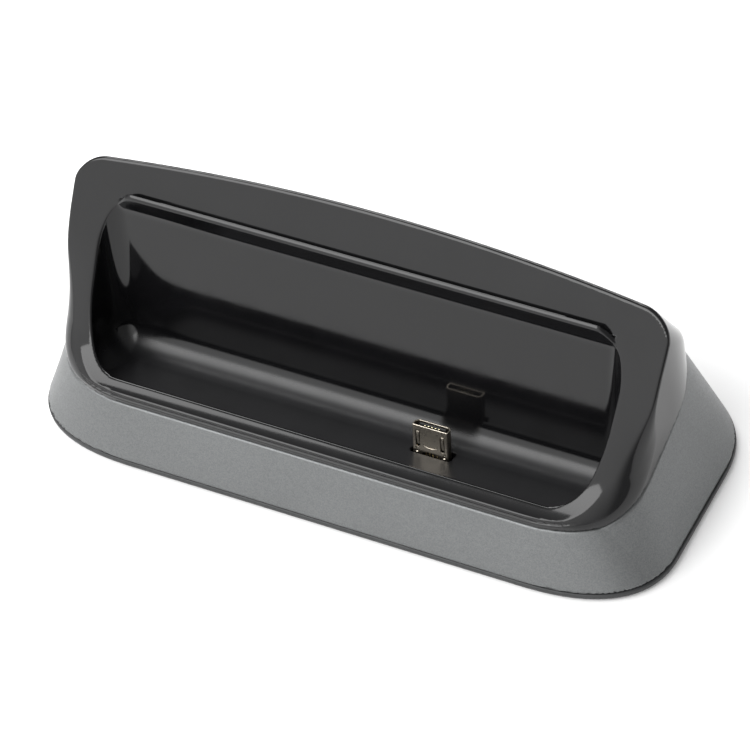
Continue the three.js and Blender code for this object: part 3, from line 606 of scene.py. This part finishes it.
LOOKS = {
    "gloss_black_shell": gloss_black_look(),
    "grey_band_paint": grey_paint_look(),
    "dark_base_plastic": moulded_look("dark_base_plastic", (0.022, 0.023, 0.024), 0.48, 0.3, 0.008),
    "foot_rubber": moulded_look("foot_rubber", (0.012, 0.012, 0.013), 0.85, 0.5, 0.03),
    "board_laminate": laminate_look("board_laminate"),
    "black_moulding": moulded_look("black_moulding", (0.01, 0.01, 0.011), 0.5, 0.12, 0.004),
    "inductor_body": moulded_look("inductor_body", (0.028, 0.028, 0.031), 0.7, 0.2, 0.015),
    "capacitor_ceramic": moulded_look("capacitor_ceramic", (0.5, 0.38, 0.22), 0.5, 0.15, 0.004),
    "connector_nylon": moulded_look("connector_nylon", (0.7, 0.63, 0.48), 0.45, 0.2, 0.003),
    "cable_film": moulded_look("cable_film", (0.75, 0.72, 0.65), 0.35, 0.4, 0.002),
    "contact_gold": metal_look("contact_gold", (0.93, 0.8, 0.52), 0.25, (1, 1, 9), 0.06),
    "plug_nickel": metal_look("plug_nickel", (0.5, 0.455, 0.385), 0.3, (9, 1, 1), 0.07),
    "ballast_steel": metal_look("ballast_steel", (0.35, 0.36, 0.37), 0.42),
    "screw_steel": metal_look("screw_steel", (0.42, 0.43, 0.44), 0.33, (1, 1, 1), 0.1),
}
SLOT_OF = {part["node"]: part["material_slot"] for part in frame["record"]["subparts"]}
BODIES = frame["record"]["behaviour"]["bodies"]
BODY_OF = {node: body for body, nodes in BODIES.items() for node in nodes}
for node, piece in frame["nodes"].items():
    piece.data.materials.clear()
    piece.data.materials.append(LOOKS[SLOT_OF[node]])


def fine_piece(node, field, steps, pad=1.0):
    """A finely meshed form that stands for one node of the frame."""
    low, high = box_mm(node)
    points, quads, normals = surface_net(field, low - pad, high + pad, steps)
    piece = add_mesh(node + "_fine", points, quads, LOOKS[SLOT_OF[node]], normals)
    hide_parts(node)
    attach(piece, BODY_OF[node])
    return piece


def round_box(node, radius, dimple=0.0):
    """A node that is a plain block, as a field with rounded edges and a small round dimple on top."""
    low, high = box_mm(node)
    centre, halves = (low + high) / 2, (high - low) / 2

    def field(x, y, z):
        body = boxed((x - centre[0], y - centre[1], z - centre[2]), halves, radius)
        if dimple:
            spot = np.hypot(x - low[0] - 2.5 * dimple, y - high[1] + 2.5 * dimple)
            body = round_max(body, -np.maximum(spot - dimple, high[2] - 0.08 - z), 0.03)
        return body

    return field


# ---- plug ----
PLUG_HALF = 3.425
PLUG_HALF_THICK = 0.9
PLUG_TOP = 5.4
PLUG_FOOT = -2.6
PLUG_WALL = 0.25
LATCH_AT = 2.35


def plug_outline(x, d):
    """The plug in plan: its two rear corners are bevelled."""
    side = np.abs(x)
    front = round_max(side - PLUG_HALF, -d - PLUG_HALF_THICK, 0.3)
    whole = round_max(front, d - PLUG_HALF_THICK, 0.12)
    bevel = (side + d - PLUG_HALF - PLUG_HALF_THICK + 0.55) * math.sqrt(0.5)
    return round_max(whole, bevel, 0.12)


def plug_shell_field(x, y, z):
    """The plug's folded shell, with its latch slots, foot arch, holes, dimples and curved groove."""
    x = x - PLUG_X
    d, h = to_lean(y, z)
    side = np.abs(x)
    outline = plug_outline(x, d)
    body = round_max(outline, np.maximum(h - PLUG_TOP, PLUG_FOOT - h), 0.07)
    hollow = np.maximum(outline + PLUG_WALL, PLUG_FOOT + 0.6 - h)
    body = round_max(body, -hollow, 0.05)
    ahead = d + PLUG_HALF_THICK - PLUG_WALL - 0.05
    slots = np.maximum(boxed((side - LATCH_AT, h - 2.7), (0.4, 1.65), 0.38), ahead)
    body = round_max(body, -slots, 0.04)
    arch = np.maximum((np.hypot(x / 1.75, (h + 0.5) / 0.8) - 1) * 0.8, ahead)
    body = round_max(body, -arch, 0.04)
    holes = np.maximum(np.hypot(side - 2.75, h - 0.72) - 0.15, ahead)
    body = round_max(body, -holes, 0.03)
    dimples = np.sqrt((side - 2.6) ** 2 + (h - 0.12) ** 2 + (d + PLUG_HALF_THICK + 0.12) ** 2) - 0.3
    body = round_max(body, -dimples, 0.05)
    curve = 1.62 - 0.32 * (1 - (x / 1.25) ** 2)
    line = np.hypot(np.maximum(side - 1.2, 0), h - curve) - 0.11
    smile = np.maximum(line, d + PLUG_HALF_THICK - 0.09)
    return round_max(body, -smile, 0.05)


def latch_field(x, y, z):
    """A narrow sprung strip whose hook slopes up to a crest near its tip."""
    d, h = to_lean(y, z)
    side = np.abs(np.abs(x - PLUG_X) - LATCH_AT)
    crest = -PLUG_HALF_THICK - 0.1 + 0.16 * np.abs(h - 3.4)
    return round_max(boxed((side, d + 0.825, h - 2.7), (0.25, 0.175, 1.5), 0.06), crest - d, 0.05)


def blade(node, radius, tip):
    """A flat strip in the leaning frame, thinned towards its tip."""
    low, high = box_mm(node)
    corners = [to_lean(y, z) for y in (low[1], high[1]) for z in (low[2], high[2])]
    middle_d, middle_h = np.mean(corners, axis=0)
    tall, deep = high[2] - low[2], high[1] - low[1]
    sine, cosine = math.sin(LEAN), math.cos(LEAN)
    half_h = (tall * cosine - deep * sine) / (2 * (cosine ** 2 - sine ** 2))
    half_d = (deep * cosine - tall * sine) / (2 * (cosine ** 2 - sine ** 2))
    centre = (low[0] + high[0]) / 2

    def field(x, y, z):
        d, h = to_lean(y, z)
        parts = (x - centre, d - middle_d, h - middle_h)
        body = boxed(parts, ((high[0] - low[0]) / 2, half_d, half_h), radius)
        slope = (h - middle_h - half_h) * 0.5 + np.abs(d - middle_d) - half_d + tip
        return round_max(body, slope, radius)

    return field


fine_piece("plug_shell", plug_shell_field, (0.085, 0.085, 0.085), 0.3)
for node in ("plug_latch_left", "plug_latch_right"):
    fine_piece(node, latch_field, (0.05, 0.05, 0.06), 0.15)
fine_piece("plug_tongue", blade("plug_tongue", 0.08, 0.15), (0.12, 0.07, 0.1), 0.2)
CONTACTS = ["plug_contact_%d" % i for i in range(1, 6)]
for node in CONTACTS:
    fine_piece(node, blade(node, 0.03, 0.03), (0.05, 0.03, 0.08), 0.1)

# ---- exterior ----
fine_piece("cradle_shell", shell_field, (0.36, 0.33, 0.33))
fine_piece("housing_band", band_field, (0.45, 0.45, 0.45))
fine_piece("base_plate", base_field, (0.4, 0.4, 0.22))


def foot_field(node):
    """A round rubber foot with one shallow ring round its underside."""
    low, high = box_mm(node)
    centre, radius = (low + high) / 2, (high[0] - low[0]) / 2

    def field(x, y, z):
        reach = np.hypot(x - centre[0], y - centre[1])
        body = round_max(reach - radius, np.maximum(-z, z - high[2]), 0.3)
        ring = np.hypot(reach - 0.72 * radius, z) - 0.22
        return round_max(body, -ring, 0.08)

    return field


for node in FEET:
    fine_piece(node, foot_field(node), (0.25, 0.25, 0.11), 0.4)

# ---- screws: a rounded head with a slot, and a threaded shank ----
HEAD_HEIGHT = 0.9
SHANK_RADIUS = 0.9
THREAD_PITCH = 0.5
THREAD_DEPTH = 0.28
TIP_TAPER = 0.5


def screw_field(node, head_up):
    """One screw, with its head at its upper or its lower end."""
    low, high = box_mm(node)
    centre, radius = (low + high) / 2, (high[0] - low[0]) / 2

    def field(x, y, z):
        along = z - high[2] if head_up else low[2] - z
        reach = np.hypot(x - centre[0], y - centre[1])
        turn = np.arctan2(y - centre[1], x - centre[0]) / (2 * math.pi)
        crest = np.abs((z / THREAD_PITCH + turn) % 1 - 0.5)
        shank = (reach - SHANK_RADIUS + THREAD_DEPTH * crest) * 0.8
        from_tip = z - low[2] if head_up else high[2] - z
        tip = reach - SHANK_RADIUS + TIP_TAPER - from_tip
        shank = np.maximum(np.maximum(shank, tip), np.maximum(low[2] - z, z - high[2]))
        head = round_max(reach - radius, np.maximum(along, -HEAD_HEIGHT - along), 0.22)
        slot = boxed((x - centre[0], y - centre[1], along), (0.32, 1.1, 0.42), 0.1)
        return round_max(np.minimum(head, shank), -slot, 0.06)

    return field


SCREWS = [node for node in frame["nodes"] if "_screw_" in node]
for node in SCREWS:
    fine_piece(node, screw_field(node, node not in BASE_SCREWS), (0.13, 0.13, 0.12), 0.3)

# ---- rear socket and the parts on the board ----
def socket_field(x, y, z):
    """The rear socket's sheet shell, bevelled below and open to the back."""
    low, high = box_mm("input_socket_shell")
    centre = (low + high) / 2
    half_x, half_z = (high[0] - low[0]) / 2, (high[2] - low[2]) / 2
    side = np.abs(x - centre[0])
    ring = boxed((side, z - centre[2]), (half_x, half_z), 0.5)
    bevel = (side - half_x + (centre[2] - z) - half_z + 1.0) * math.sqrt(0.5)
    ring = round_max(ring, bevel, 0.3)
    body = round_max(ring, np.maximum(y - high[1], low[1] - y), 0.1)
    hollow = np.maximum(ring + 0.35, low[1] + 0.35 - y)
    return round_max(body, -hollow, 0.08)


fine_piece("input_socket_shell", socket_field, (0.14, 0.14, 0.12), 0.3)
fine_piece("input_socket_tongue", round_box("input_socket_tongue", 0.12), (0.12, 0.12, 0.08), 0.3)
for node in ("charge_ic", "supervisor_ic"):
    fine_piece(node, round_box(node, 0.12, 0.35), (0.14, 0.14, 0.09), 0.3)
for node in ("input_capacitor", "output_capacitor"):
    fine_piece(node, round_box(node, 0.15), (0.12, 0.12, 0.12), 0.3)
fine_piece("power_inductor", round_box("power_inductor", 0.5), (0.2, 0.2, 0.16), 0.3)
fine_piece("board_connector", round_box("board_connector", 0.2), (0.18, 0.14, 0.12), 0.3)

# ---- camera, light and floor ----
AZIMUTH = math.radians(38.773)
ELEVATION = math.radians(49.578)
ROLL = math.radians(14.899)
DISTANCE = 0.787694
FOCAL_PIXELS = 4672.861
AIM_PIXEL = (433.053, 451.964)
IMAGE = 750
aim = Vector((PLUG_X, PLUG_Y, SLOT_FLOOR_Z)) * MM
level = Vector((math.sin(AZIMUTH), -math.cos(AZIMUTH), 0))
toward = level * math.cos(ELEVATION) + Vector((0, 0, math.sin(ELEVATION)))
right = Vector((math.cos(AZIMUTH), math.sin(AZIMUTH), 0))
up = toward.cross(right)
cam_right = right * math.cos(ROLL) - up * math.sin(ROLL)
cam_up = right * math.sin(ROLL) + up * math.cos(ROLL)
camera_data = bpy.data.cameras.new("camera")
camera = bpy.data.objects.new("camera", camera_data)
bpy.context.scene.collection.objects.link(camera)
rotation = Matrix((cam_right, cam_up, toward)).transposed().to_4x4()
camera.matrix_world = Matrix.Translation(aim + toward * DISTANCE) @ rotation
camera_data.sensor_width = 36
camera_data.lens = FOCAL_PIXELS / IMAGE * camera_data.sensor_width
camera_data.shift_x = (IMAGE / 2 - AIM_PIXEL[0]) / IMAGE
camera_data.shift_y = (AIM_PIXEL[1] - IMAGE / 2) / IMAGE
camera_data.clip_start = 0.01
bpy.context.scene.camera = camera

FLOOR_REACH = 6.0
floor_corners = [(FLOOR_REACH * x, FLOOR_REACH * y, 0) for x, y in ((-1, -1), (1, -1), (1, 1), (-1, 1))]
floor_mesh = bpy.data.meshes.new("floor")
floor_mesh.from_pydata(floor_corners, [], [(0, 1, 2, 3)])
floor = bpy.data.objects.new("floor", floor_mesh)
bpy.context.scene.collection.objects.link(floor)
floor_look = Look("floor", (0.9, 0.9, 0.9), 0.9)
floor_look.shader.inputs["Specular IOR Level"].default_value = 0.0
floor_look.shader.inputs["Emission Color"].default_value = (1, 1, 1, 1)
floor_look.shader.inputs["Emission Strength"].default_value = 0.1
floor_mesh.materials.append(floor_look.material)
floor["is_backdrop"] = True

# The room is brightest low in front on the left and dark behind on the right.
world = bpy.data.worlds.new("world")
bpy.context.scene.world = world
world.use_nodes = True
room = world.node_tree
facing = room.nodes.new("ShaderNodeVectorMath")
facing.operation = "DOT_PRODUCT"
facing.inputs[1].default_value = Vector((-0.40, -0.85, 0.35)).normalized()
room.links.new(room.nodes.new("ShaderNodeTexCoord").outputs["Generated"], facing.inputs[0])
glow = room.nodes.new("ShaderNodeMapRange")
glow.interpolation_type = "SMOOTHSTEP"
for key, number in (("From Min", 0.35), ("From Max", 1.0), ("To Min", 0.38), ("To Max", 1.95)):
    glow.inputs[key].default_value = number
room.links.new(facing.outputs["Value"], glow.inputs["Value"])
room.links.new(glow.outputs["Result"], room.nodes["Background"].inputs["Strength"])
room.nodes["Background"].inputs["Color"].default_value = (1, 1, 1, 1)


def soft_box(name, direction, width, height, radiance):
    """A rectangular light one metre away in a given direction, with a given brightness."""
    data = bpy.data.lights.new(name, "AREA")
    data.shape = "RECTANGLE"
    data.size = width
    data.size_y = height
    data.energy = radiance * width * height * math.pi
    light = bpy.data.objects.new(name, data)
    bpy.context.scene.collection.objects.link(light)
    light.location = Vector(direction).normalized()
    light.rotation_euler = light.location.to_track_quat("Z", "Y").to_euler()


soft_box("front_high", (-0.406, -0.46, 0.80), 0.9, 0.46, 4.8)
soft_box("back_high", (-0.406, 0.505, 0.761), 0.7, 0.5, 6.4)
bpy.context.scene.view_settings.view_transform = "Standard"

new_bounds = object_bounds()
plain = [[[float(v) for v in corner] for corner in bounds] for bounds in (cad_bounds, new_bounds)]
